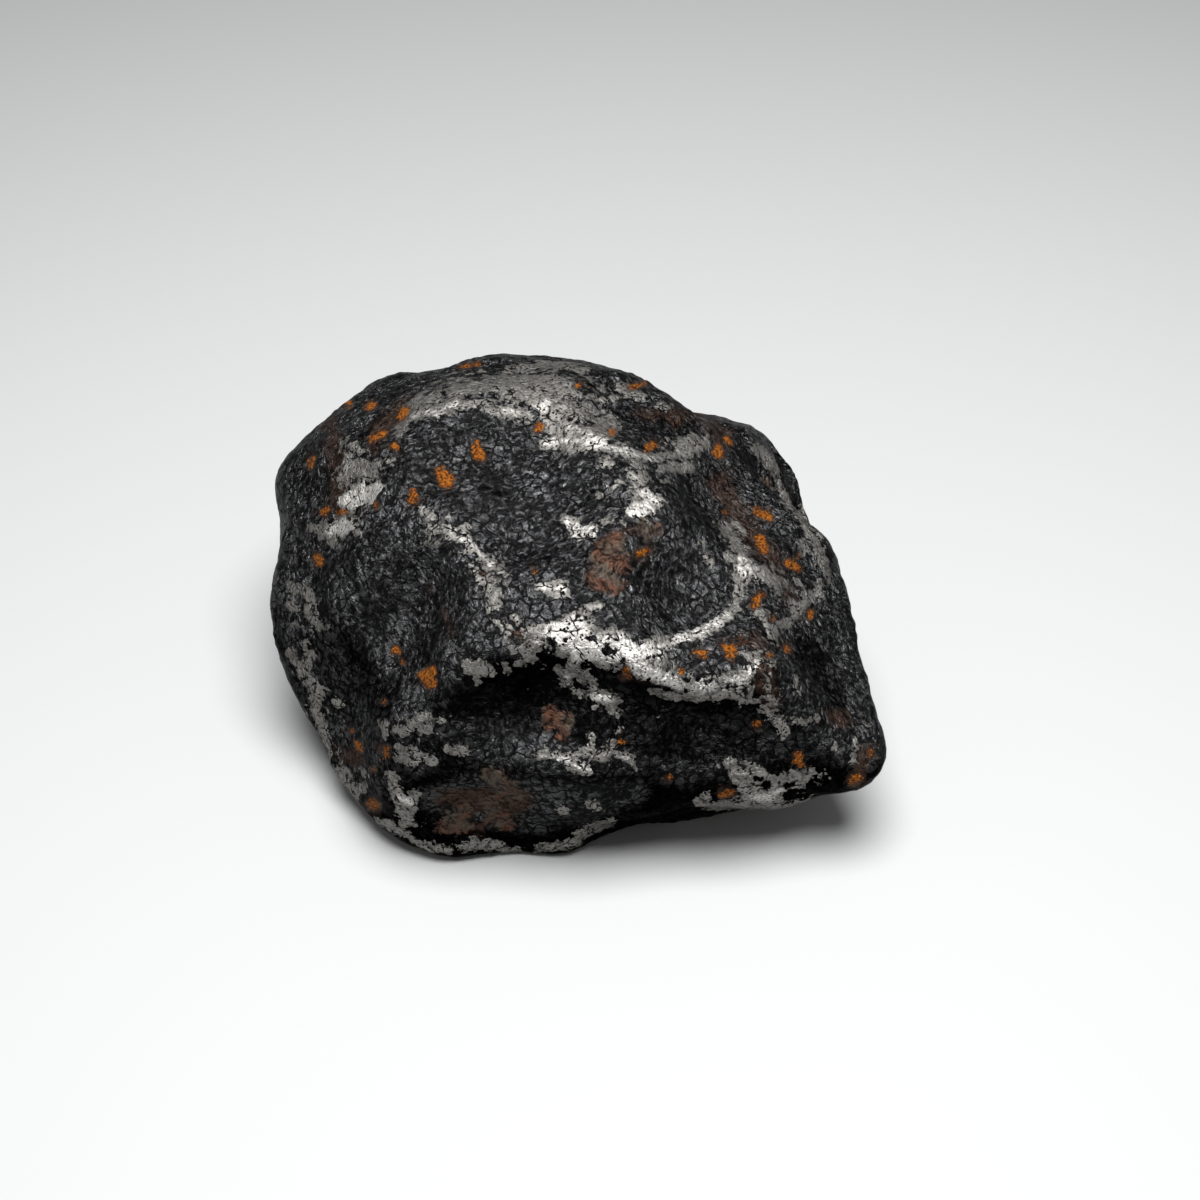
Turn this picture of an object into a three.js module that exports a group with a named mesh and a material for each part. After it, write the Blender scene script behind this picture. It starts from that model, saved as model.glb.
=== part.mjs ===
// An iron meteorite: one solid lump of metal, 120 mm long, with broad flat faces,
// soft shoulders, the thumbprint hollows that melting left all over it, and a
// small flat spot underneath that it rests on. Millimetres, +Z up.
import * as THREE from "three";
import { ConvexGeometry } from "three/addons/geometries/ConvexGeometry.js";
import { ImprovedNoise } from "three/addons/math/ImprovedNoise.js";
import { mergeVertices } from "three/addons/utils/BufferGeometryUtils.js";

// Driving sizes. The shape is laid out on a ground plane at z = 0.
const HEART = new THREE.Vector3(-2, -3, 34); // every ray that shapes the skin starts here
const EDGE_SOFTNESS = 3.2; // how softly two faces of the block meet
const SWELL = 2.6; // the faces bulge this far out of the flat ones between the corners
const SKIN_DETAIL = 19; // 20 * (SKIN_DETAIL + 1)^2 triangles
const REACH = 110; // no skin lies further from the heart
const MARCH_STEP = 1.5;
const HALVINGS = 20; // the skin is found to a millionth of a step
const ROLLING = { wavelength: 19, height: 1.8 };
const RIPPLES = { wavelength: 8, height: 0.8 };
const NOISE_START = new THREE.Vector3(40, 40, 40); // where in the noise the stone sits

// Corners of the rough block before its shoulders were melted round.
const BLOCK_CORNERS = [
  // brow, the edge between the top and the front
  [-24, -46, 48], [-3, -44, 57], [13, -47, 55], [27, -47, 52], [40, -41, 47],
  // ledge, half way down the front
  [-27, -52, 36], [-3, -53, 33], [20, -52, 31], [43, -50, 29],
  // nose, the low blunt end on the right
  [61, -27, 32], [64, -38, 30], [63, -45, 22], [60, -44, 15], [61, -32, 14], [63, -27, 24],
  [46, -21, 37], [41, -9, 41],
  // crest and shoulders around the top
  [42, 0, 49], [23, 20, 65], [4, 28, 71], [-17, 37, 67], [-42, 42, 58],
  [-31, 6, 72], [5, -2, 74], [-28, -14, 68], [-47, -10, 57],
  // left end
  [-62, 32, 53], [-66, 15, 42], [-66, -4, 27], [-55, -16, 10],
  // front foot and belly
  [-48, -35, 2], [-31, -44, -4], [-15, -47, -5], [-1, -44, -5], [20, -45, 25], [38, -45, 21], [53, -45, 11],
  // back
  [-34, 57, 40], [6, 58, 42], [34, 46, 40], [47, 35, 45], [46, 12, 33],
  [-51, 43, 22], [0, 56, 14], [34, 38, 14],
  // underside
  [14, -10, -4], [9, 14, -4], [-12, 19, -4], [-29, 0, -4],
  [-50, 18, 11], [-28, 42, 13], [16, 40, 13], [38, 8, 11], [50, -18, 15],
];

// Thumbprints: the ray from the heart through at meets the block where the hollow sits,
// facing is the way it opens, reach its half length and half width, turn the angle of its
// length, and rim how soft its edge is.
const HOLLOWS = {
  // top
  great: { at: [-13, -6, 69], facing: [-0.05, -0.25, 1], reach: [22, 18], turn: -35, depth: 5, rim: 5 },
  middle: { at: [-1, -17, 66], facing: [-0.3, -0.3, 1], reach: [15, 10], turn: 30, depth: 3, rim: 3 },
  left: { at: [-33, -29, 48], facing: [-0.6, -0.75, 0.6], reach: [19, 12], turn: 75, depth: 5, rim: 5 },
  right: { at: [25, -31, 57], facing: [0.4, -0.3, 1], reach: [19, 14], turn: 15, depth: 5, rim: 4 },
  lesser: { at: [25, -42, 51], facing: [0.1, -0.8, 1], reach: [9, 6], turn: 0, depth: 2, rim: 2.5 },
  crest: { at: [15, 9, 69], facing: [0.35, 0.1, 1], reach: [15, 9], turn: -20, depth: 3, rim: 3 },
  upperFlank: { at: [35, -4, 58], facing: [0.5, 0.05, 0.9], reach: [14, 12], turn: 40, depth: 2.5, rim: 4 },
  // front
  front: { at: [-6, -50, 44], facing: [0, -1, 0.3], reach: [18, 10], turn: 4, depth: 4.5, rim: 6 },
  belly: { at: [26, -50, 38], facing: [0.1, -1, 0.15], reach: [20, 11], turn: -8, depth: 4.5, rim: 6 },
  foot: { at: [-15, -49, 17], facing: [0, -1, -0.3], reach: [22, 14], turn: 0, depth: 1.5, rim: 3 },
  undercut: { at: [9, -43, 7], facing: [0.3, -0.7, -0.8], reach: [14, 10], turn: 0, depth: 4.5, rim: 4 },
  underBelly: { at: [21, -43, 13], facing: [0.2, -0.6, -0.8], reach: [13, 9], turn: 0, depth: 4, rim: 4 },
  // right
  noseFlank: { at: [55, -28, 41], facing: [0.7, -0.2, 0.7], reach: [17, 11], turn: 40, depth: 2.5, rim: 7 },
  groove: { at: [45, 16, 47], facing: [0.75, -0.1, 0.65], reach: [15, 6], turn: 70, depth: 5, rim: 4 },
  rightHeel: { at: [53, -8, 26], facing: [1, 0.1, -0.3], reach: [20, 13], turn: 15, depth: 5, rim: 6 },
  underNose: { at: [42, -26, 12], facing: [0.3, 0, -1], reach: [15, 12], turn: 0, depth: 2, rim: 6 },
  // left
  leftEnd: { at: [-62, 6, 34], facing: [-1, 0.1, 0.1], reach: [8, 13], turn: 0, depth: 2.5, rim: 5 },
  leftFlank: { at: [-53, -27, 27], facing: [-0.8, -0.7, 0.2], reach: [18, 12], turn: 90, depth: 2.5, rim: 6 },
  leftTop: { at: [-50, 36, 54], facing: [-0.7, 0.5, 0.6], reach: [16, 12], turn: 20, depth: 3, rim: 7 },
  leftHeel: { at: [-56, 12, 14], facing: [-0.8, 0.1, -0.7], reach: [17, 12], turn: 0, depth: 4, rim: 6 },
  // back
  back: { at: [-16, 54, 52], facing: [-0.1, 0.8, 0.7], reach: [20, 12], turn: 5, depth: 5, rim: 6 },
  backTop: { at: [25, 40, 56], facing: [0.4, 0.6, 0.8], reach: [17, 10], turn: -50, depth: 3.5, rim: 6 },
  backPocket: { at: [-8, 58, 28], facing: [0, 1, -0.1], reach: [16, 12], turn: 0, depth: 4, rim: 6 },
  backCorner: { at: [-44, 51, 36], facing: [-0.6, 0.8, 0.1], reach: [12, 14], turn: 0, depth: 4.5, rim: 6 },
  rearFlank: { at: [28, 49, 27], facing: [0.45, 0.9, -0.1], reach: [15, 12], turn: 0, depth: 4.5, rim: 6 },
  rear: { at: [47, 28, 28], facing: [0.9, 0.5, -0.3], reach: [12, 10], turn: 0, depth: 4, rim: 6 },
  // underside
  heel: { at: [-14, 42, 7], facing: [-0.1, 0.5, -0.9], reach: [20, 12], turn: 0, depth: 4, rim: 6 },
  sole: { at: [28, 14, 5], facing: [0.4, 0.2, -0.9], reach: [17, 13], turn: 30, depth: 4, rim: 6 },
};

// Bosses: round lumps that swell out of the block.
const BOSSES = {
  saddle: { at: [8, -26, 54], radius: 6, blend: 6 },
};

const UP = new THREE.Vector3(0, 0, 1);
const NEARLY_UPRIGHT = 0.9; // cosine of the tilt below which a hollow's length is laid along X
const noise = new ImprovedNoise();

// Larger of two values, with the crease between them rounded over a width.
function softMax(a, b, width) {
  const share = Math.max(width - Math.abs(a - b), 0) / width;
  return Math.max(a, b) + (share * share * width) / 4;
}

// The flat faces of the block's hull, each a plane facing out.
function blockFaces() {
  const hull = new ConvexGeometry(BLOCK_CORNERS.map((corner) => new THREE.Vector3(...corner)));
  const corners = hull.getAttribute("position");
  const faces = [];
  for (let i = 0; i < corners.count; i += 3) {
    const [a, b, c] = [0, 1, 2].map((k) => new THREE.Vector3().fromBufferAttribute(corners, i + k));
    faces.push(new THREE.Plane().setFromCoplanarPoints(a, b, c));
  }
  return faces;
}

// A hollow's own axes: out of its mouth, along its length and across it.
function hollowAxes({ at, facing, turn }) {
  const out = new THREE.Vector3(...facing).normalize();
  const level = Math.abs(out.z) > NEARLY_UPRIGHT ? new THREE.Vector3(1, 0, 0) : UP.clone().cross(out);
  const along = level.addScaledVector(out, -level.dot(out)).normalize();
  along.applyAxisAngle(out, THREE.MathUtils.degToRad(turn));
  const direction = new THREE.Vector3(...at).sub(HEART).normalize();
  return { at: leavePoint(direction, outsideBlock), out, along, across: out.clone().cross(along) };
}

// Above zero where a point lies in the bowl that a hollow scoops away.
function inBowl(point, { axes, reach, depth }) {
  const from = point.clone().sub(axes.at);
  const u = from.dot(axes.along) / reach[0];
  const v = from.dot(axes.across) / reach[1];
  return from.dot(axes.out) + depth * (1 - u * u - v * v);
}

// The uneven part of the skin: a slow roll and finer ripples.
function unevenness(point) {
  return [ROLLING, RIPPLES].reduce((sum, { wavelength, height }) => {
    const { x, y, z } = point.clone().divideScalar(wavelength).add(NOISE_START);
    return sum + height * noise.noise(x, y, z);
  }, 0);
}

const faces = blockFaces();

// Below zero inside the block, whose edges and corners are melted round.
function outsideBlock(point) {
  const near = faces.map((face) => face.distanceToPoint(point));
  const furthest = Math.max(...near);
  const sum = near.reduce((total, distance) => total + Math.exp((distance - furthest) / EDGE_SOFTNESS), 0);
  return furthest + Math.log(sum) * EDGE_SOFTNESS - SWELL;
}

// Where a ray from the heart leaves a solid that a function describes.
function leavePoint(direction, outsideSolid) {
  const at = (distance) => HEART.clone().addScaledVector(direction, distance);
  let inner = MARCH_STEP;
  while (inner < REACH && outsideSolid(at(inner + MARCH_STEP)) < 0) inner += MARCH_STEP;
  let outer = inner + MARCH_STEP;
  for (let halving = 0; halving < HALVINGS; halving += 1) {
    const middle = (inner + outer) / 2;
    if (outsideSolid(at(middle)) < 0) inner = middle;
    else outer = middle;
  }
  return at(outer);
}

const hollows = Object.values(HOLLOWS).map((hollow) => ({ ...hollow, axes: hollowAxes(hollow) }));
const bosses = Object.values(BOSSES).map((boss) => ({ ...boss, centre: new THREE.Vector3(...boss.at) }));

// Below zero inside the stone and above zero outside it.
function outsideStone(point) {
  let value = outsideBlock(point);
  for (const { centre, radius, blend } of bosses) {
    value = -softMax(-value, radius - point.distanceTo(centre), blend);
  }
  for (const hollow of hollows) value = softMax(value, inBowl(point, hollow), hollow.rim);
  value += unevenness(point);
  return Math.max(value, -point.z);
}

function meteoriteGeometry() {
  const ball = new THREE.IcosahedronGeometry(1, SKIN_DETAIL);
  ball.deleteAttribute("normal");
  ball.deleteAttribute("uv");
  const skin = mergeVertices(ball);
  const position = skin.getAttribute("position");
  for (let i = 0; i < position.count; i += 1) {
    const direction = new THREE.Vector3().fromBufferAttribute(position, i).normalize();
    position.setXYZ(i, ...leavePoint(direction, outsideStone).toArray());
  }
  skin.computeVertexNormals();
  skin.computeBoundingBox();
  return skin;
}

const meteorite = new THREE.Mesh(
  meteoriteGeometry(),
  new THREE.MeshStandardMaterial({ color: 0x2b2a2b, roughness: 0.5, metalness: 0.7 }),
);
meteorite.name = "meteorite";

// The origin goes to the middle of the stone's box, on the ground.
const middle = meteorite.geometry.boundingBox.getCenter(new THREE.Vector3());
meteorite.position.set(-middle.x, -middle.y, 0);

const part = new THREE.Group();
part.add(meteorite);
export default part;
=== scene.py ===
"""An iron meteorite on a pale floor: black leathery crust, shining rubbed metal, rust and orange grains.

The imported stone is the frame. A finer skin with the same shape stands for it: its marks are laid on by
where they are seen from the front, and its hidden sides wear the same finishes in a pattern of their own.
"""

import logging
import math
from collections.abc import Sequence
from dataclasses import dataclass, field
from enum import Enum

import bpy
import numpy as np
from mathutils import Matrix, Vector
from mathutils.bvhtree import BVHTree

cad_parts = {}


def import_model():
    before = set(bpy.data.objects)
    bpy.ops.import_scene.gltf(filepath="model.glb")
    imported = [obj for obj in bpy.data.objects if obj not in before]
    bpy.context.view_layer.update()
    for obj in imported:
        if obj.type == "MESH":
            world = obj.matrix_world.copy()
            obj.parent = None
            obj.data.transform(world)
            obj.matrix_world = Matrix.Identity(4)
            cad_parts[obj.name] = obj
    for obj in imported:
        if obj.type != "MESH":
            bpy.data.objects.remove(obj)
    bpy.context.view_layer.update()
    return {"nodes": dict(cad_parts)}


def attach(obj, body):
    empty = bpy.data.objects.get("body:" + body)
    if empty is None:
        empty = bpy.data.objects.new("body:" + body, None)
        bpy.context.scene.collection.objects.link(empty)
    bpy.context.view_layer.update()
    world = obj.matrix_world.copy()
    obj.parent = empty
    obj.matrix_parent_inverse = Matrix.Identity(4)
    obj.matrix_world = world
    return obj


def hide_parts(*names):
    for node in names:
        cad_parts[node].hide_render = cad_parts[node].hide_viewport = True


LOG = logging.getLogger("meteorite")
NODE = "meteorite"
BODY = "root"
MM = 0.001
FRAME_PIXELS = 1200
OUTSIDE = -3.0  # further than this from a mark, in millimetres, counts as this far
Colour = tuple[float, float, float]
# A stroke, point by point: pixels across and down the frame, and half width in pixels.
Trace = tuple[tuple[float, float, float], ...]
# The strokes of each area of the front.
Areas = dict[str, tuple[Trace, ...]]


class Mark(Enum):
    """What the skin carries at each point: millimetres inside the mark's edge, or for the painted light a
    share of 1.
    """

    METAL = "worn_metal"
    GRAIN = "orange_grain"
    STAIN = "brown_patch"
    TINT = "rust_tint"
    GROOVE = "groove"
    # Painted highlights on the metal.
    HIGHLIGHT_STROKES = "painted_highlight"
    BULGE = "bulge"
    # Share of painted light: crust drawn lit where it faces up or left, shaded where it faces away.
    PAINTED_LIGHT = "painted_light"


@dataclass(frozen=True)
class Noise:
    """Smooth and cellular noise in space, the same in every run."""

    seed: int

    def _random(self, cell: np.ndarray, salt: int) -> np.ndarray:
        """Turns whole-number cells into even random numbers.

        Args:
            cell: Whole-number positions, one row each.
            salt: Which of several independent numbers is wanted.

        Returns:
            One number from 0 to 1 for each row.
        """
        x, y, z = (cell[:, k].astype(np.int64).astype(np.uint32) for k in range(3))
        mixed = x * np.uint32(374761393) + y * np.uint32(668265263) + z * np.uint32(2246822519)
        mixed += np.uint32((self.seed * 3266489917 + salt * 40503) % 2**32)
        mixed = (mixed ^ (mixed >> np.uint32(15))) * np.uint32(2654435761)
        mixed = (mixed ^ (mixed >> np.uint32(13))) * np.uint32(1274126177)
        return (mixed ^ (mixed >> np.uint32(16))) / 2.0**32

    def smooth(self, points: np.ndarray, size: float) -> np.ndarray:
        """Gradient noise.

        Args:
            points: Where it is wanted, in millimetres.
            size: Spacing of its lumps, in millimetres.

        Returns:
            One number for each point, mostly from -1 to 1.
        """
        place = points / size + 57.3
        cell = np.floor(place)
        inside = place - cell
        fade = inside**3 * (inside * (inside * 6 - 15) + 10)
        total = np.zeros(len(points))
        for corner in np.ndindex(2, 2, 2):
            step = np.array(corner, float)
            weight = np.prod(np.where(step == 1, fade, 1 - fade), axis=1)
            slope = np.stack([self._random(cell + step, salt) * 2 - 1 for salt in range(3)], axis=1)
            total += weight * np.einsum("ij,ij->i", slope, inside - step)
        return total * 1.6

    def cells(self, points: np.ndarray, size: float) -> tuple[np.ndarray, np.ndarray]:
        """Distances to the two nearest of a set of scattered seeds.

        Args:
            points: Where they are wanted, in millimetres.
            size: Mean spacing of the seeds, in millimetres.

        Returns:
            The distance to the nearest seed and to the second nearest, in spacings.
        """
        place = points / size + 91.7
        cell = np.floor(place)
        first = np.full(len(points), 9.0)
        second = np.full(len(points), 9.0)
        for offset in np.ndindex(3, 3, 3):
            neighbour = cell + np.array(offset, float) - 1
            seed = neighbour + np.stack([self._random(neighbour, 7 + salt) for salt in range(3)], axis=1)
            distance = np.linalg.norm(place - seed, axis=1)
            second = np.minimum(second, np.maximum(first, distance))
            first = np.minimum(first, distance)
        return first, second


def ease(low: float, high: float, value: np.ndarray) -> np.ndarray:
    """Rises smoothly from 0 at low to 1 at high."""
    share = np.clip((value - low) / (high - low), 0, 1)
    return share * share * (3 - 2 * share)


@dataclass
class Viewpoint:
    """The camera at the photograph's angle, all sizes in millimetres."""

    target: tuple[float, float, float] = (5.71, -3.08, 29.0)
    elevation: float = 40.0
    distance: float = 400.0
    lens: float = 60.0
    sensor: float = 36.0

    @property
    def back(self) -> Vector:
        """Direction from the stone to the camera."""
        angle = math.radians(self.elevation)
        return Vector((0, -math.cos(angle), math.sin(angle)))

    @property
    def eye(self) -> Vector:
        """Where the camera stands."""
        return Vector(self.target) + self.back * self.distance

    @property
    def pixel_mm(self) -> float:
        """Size of a pixel at the stone."""
        return self.distance * self.sensor / self.lens / FRAME_PIXELS

    def pixels(self, points: np.ndarray) -> np.ndarray:
        """Where points are seen.

        Args:
            points: Points in millimetres.

        Returns:
            For each, its pixels across and down the frame.
        """
        back = np.array(self.back)
        right = np.array([1.0, 0.0, 0.0])
        up = np.cross(back, right)
        away = points - np.array(self.eye)
        depth = -away @ back * self.sensor / self.lens / FRAME_PIXELS
        middle = FRAME_PIXELS / 2
        return np.stack([middle + away @ right / depth, middle - away @ up / depth], axis=1)

    def build(self) -> None:
        """Adds the camera and makes it the scene's own."""
        data = bpy.data.cameras.new("camera")
        data.lens = self.lens
        data.sensor_width = self.sensor
        data.clip_start, data.clip_end = 0.01, 20
        camera = bpy.data.objects.new("camera", data)
        camera.location = self.eye * MM
        camera.rotation_mode = "QUATERNION"
        camera.rotation_quaternion = (-self.back).to_track_quat("-Z", "Y")
        bpy.context.scene.collection.objects.link(camera)
        bpy.context.scene.camera = camera

# Worn metal.
METAL: Areas = {
    "left shoulder": (
        ((344, 502, 5), (356, 498, 8), (368, 493, 8), (378, 486, 5)),
        ((346, 474, 7), (358, 468, 9), (371, 474, 8)), ((373, 467, 3), (384, 464, 4), (394, 462, 2)),
        ((340, 516, 3), (342, 528, 8), (350, 525, 5)), ((312, 528, 5), (322, 532, 7), (331, 540, 5)),
        ((357, 533, 2.5), (361, 534, 2)), ((356, 451, 2), (366, 452, 2)),
    ),
    "crest": (
        ((398, 436, 3), (400, 428, 5), (406, 420, 6)),
        ((412, 416, 5), (424, 410, 6), (436, 412, 6), (448, 408, 6), (457, 402, 5)),
        ((462, 406, 3), (474, 403, 3), (494, 411, 5), (506, 412, 6), (518, 413, 6), (528, 417, 5)),
        ((504, 396, 4), (530, 398, 6), (552, 402, 8), (566, 408, 9)),
        ((550, 420, 11), (564, 430, 12), (580, 436, 12), (594, 434, 10), (608, 430, 9), (615, 424, 5)),
        ((578, 412, 9), (590, 410, 8), (598, 414, 6), (606, 420, 6)),
        ((452, 392, 5), (476, 388, 7), (500, 386, 8), (528, 382, 9), (552, 384, 9), (572, 392, 7)),
        ((516, 368, 3), (540, 364, 4), (564, 366, 4), (586, 370, 3)),
        ((404, 410, 4), (420, 400, 5), (438, 398, 5)), ((604, 462, 4), (611, 463, 4)),
        ((612, 488, 3), (618, 484, 3)), ((599, 496, 3), (605, 498, 3)),
    ),
    "crest lip": (
        ((543, 444, 4), (554, 440, 5), (566, 441, 6), (578, 447, 6), (588, 445, 5), (600, 445, 6)),
        ((600, 445, 6), (612, 449, 5), (628, 454, 5), (640, 456, 4), (652, 457, 4)),
    ),
    "saddle": (
        ((632, 463, 4), (640, 470, 5), (645, 478, 5), (641, 484, 3)),
        ((634, 490, 5), (644, 496, 6), (656, 499, 5)),
        ((629, 509, 5), (638, 507, 8), (650, 506, 8), (659, 503, 4)),
        ((565, 520, 4), (573, 525, 7), (577, 534, 5), (588, 532, 6), (594, 527, 4)),
        ((540, 586, 5), (550, 588, 8), (562, 587, 9), (568, 592, 5)),
    ),
    "crest end": (
        ((662, 467, 4), (674, 467, 6), (686, 467, 5), (693, 469, 3)),
        ((660, 457, 4), (674, 456, 5), (686, 452, 7), (697, 447, 7), (706, 442, 4)),
        ((684, 442, 5), (694, 438, 5)), ((664, 481, 2), (670, 481, 3)),
    ),
    "far shoulder": (((618, 386, 4), (630, 392, 5), (642, 396, 4)),),
    "dark top": (((660, 404, 3), (668, 408, 3)),),
    "hollow": (
        ((424, 510, 4), (431, 515, 5), (433, 521, 3)),
        ((425, 530, 2), (432, 534, 2), (438, 528, 4), (448, 531, 3), (457, 529, 3), (465, 526, 3)),
        ((420, 543, 2), (430, 544, 2), (440, 540, 1)),
        ((466, 534, 3), (472, 544, 4), (480, 554, 3), (490, 564, 4), (498, 572, 1)),
        ((482, 580, 3), (490, 588, 5), (498, 594, 4), (496, 606, 5), (488, 604, 3)),
        ((506, 576, 2.5), (504, 584, 3)),
    ),
    "brow": (
        ((498, 622, 4), (508, 628, 6), (507, 636, 4)), ((514, 618, 4), (518, 621, 3)),
        ((530, 630, 5), (540, 631, 7), (550, 630, 7), (557, 636, 5)),
        ((536, 642, 5), (530, 648, 6), (522, 650, 5), (532, 658, 5)), ((508, 646, 2.5), (514, 649, 3)),
        ((562, 628, 6), (572, 630, 9), (583, 629, 9), (592, 624, 4)),
        ((566, 618, 4), (580, 612, 5), (594, 607, 4), (604, 603, 2)),
        ((574, 643, 8), (579, 652, 8), (572, 662, 6)),
        ((586, 642, 6), (592, 650, 7), (600, 656, 7), (610, 661, 6)),
        ((600, 635, 4), (612, 636, 7), (622, 640, 7), (630, 650, 8), (640, 654, 7)),
    ),
    "right rim": (
        ((644, 650, 7), (656, 645, 9), (668, 642, 8), (677, 640, 3)),
        ((638, 664, 6), (650, 664, 6), (662, 661, 6)),
        ((680, 638, 4), (692, 635, 5), (704, 631, 6), (716, 626, 6), (726, 618, 6), (734, 608, 5)),
        ((738, 598, 4), (739, 588, 4), (741, 578, 5)), ((742, 558, 7), (742, 570, 9), (750, 568, 9)),
        ((738, 548, 5), (732, 536, 4), (727, 524, 3)), ((743, 536, 3), (738, 528, 3), (734, 522, 2)),
        ((728, 556, 3), (734, 560, 4)),
    ),
    "right branch": (
        ((752, 568, 8), (764, 574, 7), (775, 581, 6), (785, 584, 5)),
        ((790, 602, 4), (797, 610, 5), (806, 602, 4), (818, 597, 5), (818, 584, 4)),
    ),
    "right hollow": (((704, 556, 2.5), (713, 562, 3)), ((699, 542, 2), (703, 544, 3))),
    "lesser": (
        ((760, 612, 2.5), (766, 622, 3), (771, 632, 3)), ((774, 626, 4), (784, 625, 5), (794, 619, 4)),
        ((646, 670, 5), (660, 676, 5), (676, 680, 5), (690, 683, 4), (704, 688, 5), (716, 686, 5)),
        ((652, 690, 4), (668, 694, 5), (684, 692, 5), (700, 695, 4), (716, 694, 4), (734, 694, 5)),
        ((722, 680, 5), (732, 677, 7), (744, 679, 7), (752, 670, 6), (758, 660, 5)),
        ((750, 690, 5), (744, 700, 4), (756, 702, 3)), ((748, 654, 3), (740, 650, 2)),
    ),
    "ledge": (
        ((768, 696, 3), (773, 703, 5), (778, 712, 3)), ((762, 708, 4), (770, 713, 3)),
        ((777, 722, 4), (784, 730, 4), (783, 738, 2)), ((794, 720, 2), (806, 722, 2), (818, 718, 2.5)),
        (
            (541, 757, 4), (548, 757, 5), (557, 756, 4), (567, 759, 5), (573, 766, 5), (584, 770, 4),
            (590, 770, 3),
        ),
        ((574, 757, 3), (586, 752, 6), (594, 756, 5), (603, 759, 3)),
        ((609, 754, 3), (610, 744, 3), (614, 736, 3), (620, 730, 3)), ((590, 736, 3), (592, 743, 3)),
        ((618, 754, 3), (629, 757, 4)), ((633, 764, 3), (636, 769, 2)),
    ),
    "comma": (((796, 679, 2), (796, 687, 2.5), (800, 695, 2)),),
    "nose": (
        ((834, 746, 2.5), (838, 747, 2.5)), ((852, 762, 2), (858, 738, 2)), ((868, 734, 2), (865, 722, 2)),
        ((728, 765, 4), (736, 768, 5), (738, 778, 6), (745, 787, 6)),
        (
            (750, 795, 8), (762, 797, 9), (775, 794, 9), (777, 782, 6), (790, 777, 5), (804, 778, 5),
            (812, 771, 3),
        ),
        ((756, 768, 3), (763, 772, 3), (770, 778, 3)),
        (
            (698, 803, 4), (716, 806, 4), (736, 805, 4), (756, 806, 4), (776, 808, 4), (796, 807, 4),
            (818, 802, 3),
        ),
        ((700, 796, 3), (708, 797, 3)),
    ),
    "right edge": (
        ((798, 516, 3), (806, 530, 4), (815, 544, 4), (822, 558, 3), (826, 572, 3)),
        ((801, 544, 3), (806, 551, 3)),
    ),
    "upper flank": (
        ((754, 447, 4), (763, 454, 5), (771, 463, 5), (776, 472, 4)),
        ((778, 480, 3), (784, 492, 4), (790, 504, 5)),
    ),
    "knob": (((780, 442, 4), (788, 446, 4)),),
    "left edge": (
        ((299, 586, 2), (307, 592, 4), (311, 603, 5), (307, 613, 5), (315, 624, 3), (326, 629, 2)),
        ((288, 582, 3), (292, 588, 3)), ((290, 603, 4), (296, 611, 4)), ((312, 655, 5), (307, 664, 4)),
        ((290, 652, 3), (297, 662, 4), (303, 673, 4)),
        ((311, 684, 6), (319, 690, 5), (317, 700, 5), (318, 712, 5), (322, 722, 4), (327, 745, 3)),
        ((336, 702, 3), (342, 704, 3)),
    ),
    "left foot": (
        ((334, 768, 3), (341, 779, 4), (349, 785, 4), (354, 793, 6), (362, 788, 4)),
        ((346, 771, 3), (352, 771, 2)), ((359, 768, 2), (364, 774, 3)),
    ),
    "flank": (
        ((386, 726, 3), (388, 734, 3)),
        ((396, 730, 3), (405, 730, 5), (412, 724, 6), (420, 719, 4), (430, 717, 3)),
        ((399, 746, 3), (402, 752, 3)), ((404, 758, 4), (413, 759, 7), (422, 759, 5), (433, 762, 3)),
        ((447, 749, 3), (456, 752, 4), (464, 749, 5)),
    ),
    "foot": (
        ((392, 774, 4), (394, 788, 6), (399, 799, 7), (408, 802, 8), (416, 795, 5)),
        ((413, 810, 5), (408, 818, 5), (402, 824, 4)),
        ((376, 823, 3), (390, 826, 4), (402, 831, 4), (412, 838, 3), (422, 842, 3)),
        ((428, 845, 3), (440, 847, 4), (449, 850, 3)),
        ((463, 847, 4), (476, 844, 6), (490, 845, 6), (501, 847, 3)), ((502, 852, 2), (518, 851, 3)),
        ((538, 849, 3), (552, 848, 4), (566, 845, 4), (578, 841, 3)),
        ((576, 836, 2), (586, 832, 4), (595, 828, 4), (612, 822, 2)), ((560, 809, 3), (566, 810, 2.5)),
        ((587, 802, 3), (596, 804, 3)),
    ),
    "round patch": (
        ((463, 664, 2), (470, 668, 6), (480, 669, 10), (488, 672, 7)), ((476, 680, 3), (480, 683, 2)),
    ),
    "beside round patch": (((504, 665, 2), (507, 673, 3)), ((517, 664, 2), (524, 662, 2))),
    "front": (
        ((557, 668, 4), (564, 672, 7), (567, 682, 5)), ((574, 664, 6), (578, 668, 4)),
        ((588, 672, 3), (592, 683, 4), (594, 692, 3)),
        ((573, 690, 2), (582, 694, 3), (592, 698, 4), (606, 700, 4), (617, 698, 2)),
        ((609, 706, 3), (614, 712, 4), (619, 718, 2)), ((594, 708, 2.5), (598, 708, 2)),
    ),
}

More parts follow.
